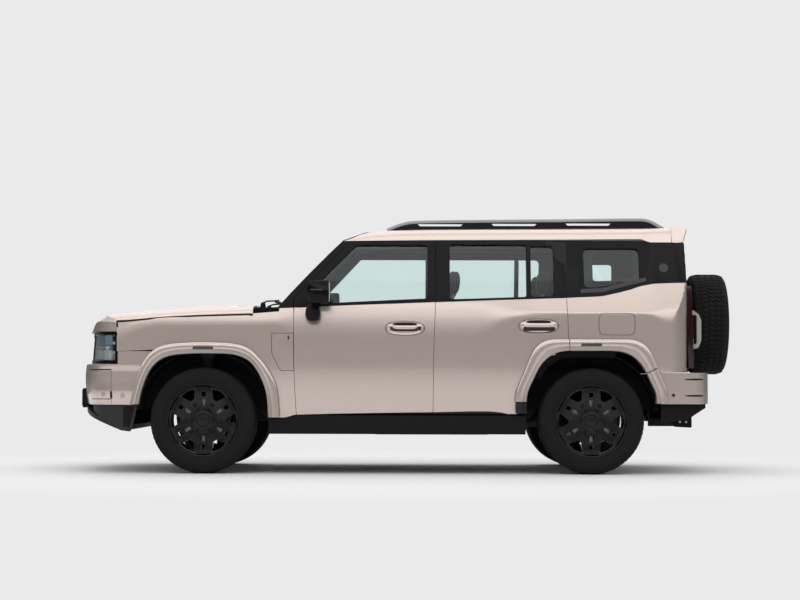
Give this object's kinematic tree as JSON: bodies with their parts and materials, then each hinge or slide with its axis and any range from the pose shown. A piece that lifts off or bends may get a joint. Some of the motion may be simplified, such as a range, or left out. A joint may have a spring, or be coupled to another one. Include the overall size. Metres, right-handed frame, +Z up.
{
  "type": "off-road estate car",
  "caption": "Lifted five-door off-road 4x4 with a separate frame, opening doors, bonnet and side-hinged tailgate with spare wheel, turning wheels and steering.",
  "frame": {"origin": "on the ground, at the middle of the car's length and width", "axes": "+X towards the rear, +Y towards the car's right, +Z up"},
  "size_m": [5.016, 2.328, 1.9215],
  "materials": {
    "body_paint": "metallic champagne, clear coated",
    "black_plastic": "matte",
    "gloss_black": "gloss",
    "window_glass": "clear, faintly green",
    "tyre_rubber": "matte",
    "rim_black": "satin",
    "frame_black": "satin",
    "bare_steel": "dull",
    "cast_parts": "rough",
    "seat_fabric": "woven",
    "lamp_lens": "clear",
    "tail_lens": "deep red",
    "cabin_trim": "grained"
  },
  "bodies": {
    "body": {"body_side_left": "body_paint", "body_side_right": "body_paint", "roof_panel": "body_paint", "roof_spoiler": "body_paint", "roof_rails": "gloss_black", "fixed_glass": "window_glass", "front_fender_left": "body_paint", "front_fender_right": "body_paint", "front_bumper": "body_paint", "headlamps": "lamp_lens", "grille": "black_plastic", "cowl_panel": "black_plastic", "front_valance": "black_plastic", "sill_cladding": "black_plastic", "rear_bumper": "body_paint", "rear_valance": "black_plastic", "tail_lamps": "tail_lens", "chassis_frame": "frame_black", "floor_pan": "frame_black", "wheel_liners": "black_plastic", "engine_block": "cast_parts", "driveline": "cast_parts", "rear_axle": "cast_parts", "front_suspension": "cast_parts", "exhaust_and_tank": "bare_steel", "tow_hitch": "frame_black", "dashboard": "cabin_trim", "steering_wheel": "cabin_trim", "front_seats": "seat_fabric", "rear_bench": "seat_fabric"},
    "door_front_left": {"door_front_left": "body_paint", "glass_front_left": "window_glass"},
    "door_front_right": {"door_front_right": "body_paint", "glass_front_right": "window_glass"},
    "door_rear_left": {"door_rear_left": "body_paint", "glass_rear_left": "window_glass"},
    "door_rear_right": {"door_rear_right": "body_paint", "glass_rear_right": "window_glass"},
    "bonnet": {"bonnet": "body_paint"},
    "tailgate": {"tailgate": "body_paint", "tailgate_glass": "window_glass", "spare_tyre": "tyre_rubber", "spare_rim": "rim_black"},
    "knuckle_left": {"knuckle_left": "cast_parts"},
    "knuckle_right": {"knuckle_right": "cast_parts"},
    "wheel_front_left": {"tyre_front_left": "tyre_rubber", "rim_front_left": "rim_black"},
    "wheel_front_right": {"tyre_front_right": "tyre_rubber", "rim_front_right": "rim_black"},
    "wheel_rear_left": {"tyre_rear_left": "tyre_rubber", "rim_rear_left": "rim_black"},
    "wheel_rear_right": {"tyre_rear_right": "tyre_rubber", "rim_rear_right": "rim_black"}
  },
  "joints": [
    {"name": "steer_left", "type": "hinge", "parent": "body", "child": "knuckle_left", "pos_m": [-1.492, -0.74, 0.394], "axis": [0, 0, 1], "range_deg": [-33, 33]},
    {"name": "steer_right", "type": "hinge", "parent": "body", "child": "knuckle_right", "pos_m": [-1.492, 0.74, 0.394], "axis": [0, 0, 1], "range_deg": [-33, 33]},
    {"name": "wheel_front_left_spin", "type": "hinge", "parent": "knuckle_left", "child": "wheel_front_left", "pos_m": [-1.492, -0.84, 0.394], "axis": [0, 1, 0], "continuous": true},
    {"name": "wheel_front_right_spin", "type": "hinge", "parent": "knuckle_right", "child": "wheel_front_right", "pos_m": [-1.492, 0.84, 0.394], "axis": [0, 1, 0], "continuous": true},
    {"name": "wheel_rear_left_spin", "type": "hinge", "parent": "body", "child": "wheel_rear_left", "pos_m": [1.388, -0.84, 0.394], "axis": [0, 1, 0], "continuous": true},
    {"name": "wheel_rear_right_spin", "type": "hinge", "parent": "body", "child": "wheel_rear_right", "pos_m": [1.388, 0.84, 0.394], "axis": [0, 1, 0], "continuous": true},
    {"name": "door_front_left_hinge", "type": "hinge", "parent": "body", "child": "door_front_left", "pos_m": [-0.823, -0.96, 0.86], "axis": [0, 0, -1], "range_deg": [0, 68]},
    {"name": "door_front_right_hinge", "type": "hinge", "parent": "body", "child": "door_front_right", "pos_m": [-0.823, 0.96, 0.86], "axis": [0, 0, 1], "range_deg": [0, 68]},
    {"name": "door_rear_left_hinge", "type": "hinge", "parent": "body", "child": "door_rear_left", "pos_m": [0.216, -0.96, 0.86], "axis": [0, 0, -1], "range_deg": [0, 70]},
    {"name": "door_rear_right_hinge", "type": "hinge", "parent": "body", "child": "door_rear_right", "pos_m": [0.216, 0.96, 0.86], "axis": [0, 0, 1], "range_deg": [0, 70]},
    {"name": "bonnet_hinge", "type": "hinge", "parent": "body", "child": "bonnet", "pos_m": [-1.125, 0, 1.258], "axis": [0, 1, 0], "range_deg": [0, 55]},
    {"name": "tailgate_hinge", "type": "hinge", "parent": "body", "child": "tailgate", "pos_m": [2.136, 0.795, 1.05], "axis": [0, 0, 1], "range_deg": [0, 90]}
  ],
  "couplings": [
    {"joint": "steer_right", "follows": "steer_left", "ratio": 1}
  ]
}
